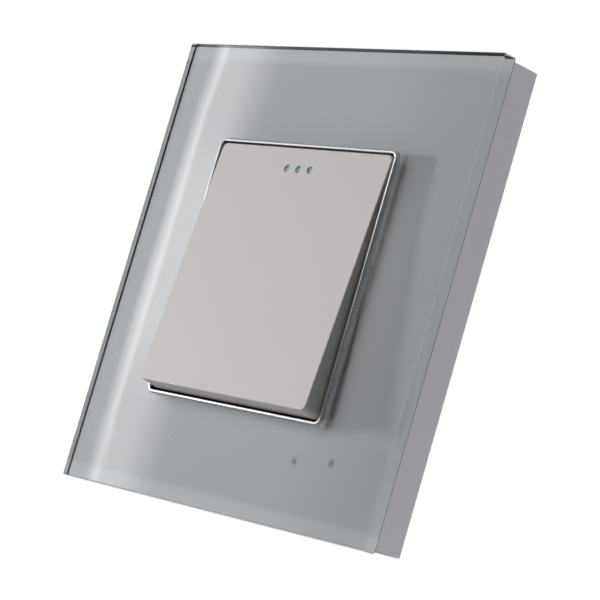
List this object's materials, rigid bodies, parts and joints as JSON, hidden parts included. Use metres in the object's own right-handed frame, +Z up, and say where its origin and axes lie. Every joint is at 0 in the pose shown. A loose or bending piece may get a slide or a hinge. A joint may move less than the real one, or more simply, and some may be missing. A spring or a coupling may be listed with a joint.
{
  "type": "wireless wall switch",
  "caption": "Flat glass-fronted wall switch with a tilting rocker that drives a small magnet and coil generator and a radio transmitter.",
  "frame": {"origin": "centre of the wall plane, where the back of the switch lies on the wall", "axes": "+Y into the wall, +Z up, +X to the right for someone facing the switch; the front faces -Y"},
  "size_m": [0.09, 0.0133, 0.09],
  "materials": {
    "clear_glass": "polished clear glass with ground arrises",
    "silver_film": "silver-grey back print",
    "frame_grey": "satin moulded",
    "bright_bezel": "bright satin metal",
    "rocker_grey": "fine satin, warm light grey",
    "jade_lens": "translucent jade green",
    "dark_adhesive": "matt foam adhesive",
    "pale_adhesive": "matt foam adhesive with liner",
    "white_moulding": "moulded, fine texture",
    "dark_moulding": "moulded, fine texture",
    "board_green": "solder mask",
    "tin_can": "tinned shield",
    "chip_black": "moulded",
    "capacitor_metal": "satin sleeve",
    "led_clear": "clear moulded",
    "copper": "bare and enamelled copper",
    "zinc_steel": "zinc plated",
    "soft_iron": "annealed, plain",
    "nickel_magnet": "nickel plated",
    "black_rubber": "matt"
  },
  "bodies": {
    "housing": {"glass_panel": "clear_glass", "colour_film": "silver_film", "glass_tape": "dark_adhesive", "carrier_frame": "frame_grey", "insert_bezel": "bright_bezel", "base_plate": "white_moulding", "wall_tape_pads": "pale_adhesive", "insert_screws": "zinc_steel", "module_screws": "zinc_steel", "module_case": "dark_moulding", "stop_bumpers": "black_rubber", "pivot_pins": "zinc_steel", "lever_pins": "zinc_steel", "main_pcb": "board_green", "radio_module": "tin_can", "rectifier_chip": "chip_black", "storage_capacitor": "capacitor_metal", "status_leds": "led_clear", "antenna_strip": "copper", "tact_switch_body": "chip_black", "contact_domes": "zinc_steel", "guide_bridge": "dark_moulding", "upper_spring": "zinc_steel", "lower_spring": "zinc_steel", "iron_core": "soft_iron", "core_screws": "zinc_steel", "coil_bobbin": "dark_moulding", "coil_winding": "copper"},
    "rocker": {"rocker_cap": "rocker_grey", "rocker_yoke": "white_moulding", "light_guide": "jade_lens"},
    "generator_lever": {"magnet_lever": "white_moulding", "magnet": "nickel_magnet", "pole_plates": "soft_iron"},
    "upper_contact": {"upper_plunger": "white_moulding"},
    "lower_contact": {"lower_plunger": "white_moulding"},
    "pairing_button": {"pair_button": "white_moulding"}
  },
  "joints": [
    {"name": "rocker_tilt", "type": "hinge", "parent": "housing", "child": "rocker", "pos_m": [0, -0.00532, 0], "axis": [1, 0, 0], "range_deg": [0, 8.22]},
    {"name": "lever_swing", "type": "hinge", "parent": "housing", "child": "generator_lever", "pos_m": [0, -0.004, 0], "axis": [1, 0, 0], "range_deg": [0, 8.23]},
    {"name": "upper_plunger_slide", "type": "slide", "parent": "housing", "child": "upper_contact", "axis": [0, -1, 0], "range_m": [0, 0.0016], "deforming": ["upper_spring"]},
    {"name": "lower_plunger_slide", "type": "slide", "parent": "housing", "child": "lower_contact", "axis": [0, 1, 0], "range_m": [0, 0.0016], "deforming": ["lower_spring"]},
    {"name": "pair_button_press", "type": "slide", "parent": "housing", "child": "pairing_button", "axis": [0, 1, 0], "range_m": [0, 0.00025], "stiffness_N_per_m": 400, "springref_m": -0.0002}
  ],
  "couplings": [
    {"joint": "lever_swing", "follows": "rocker_tilt", "ratio": 1},
    {"joint": "upper_plunger_slide", "follows": "rocker_tilt", "m_per_rad": 0.011},
    {"joint": "lower_plunger_slide", "follows": "rocker_tilt", "m_per_rad": 0.011}
  ]
}
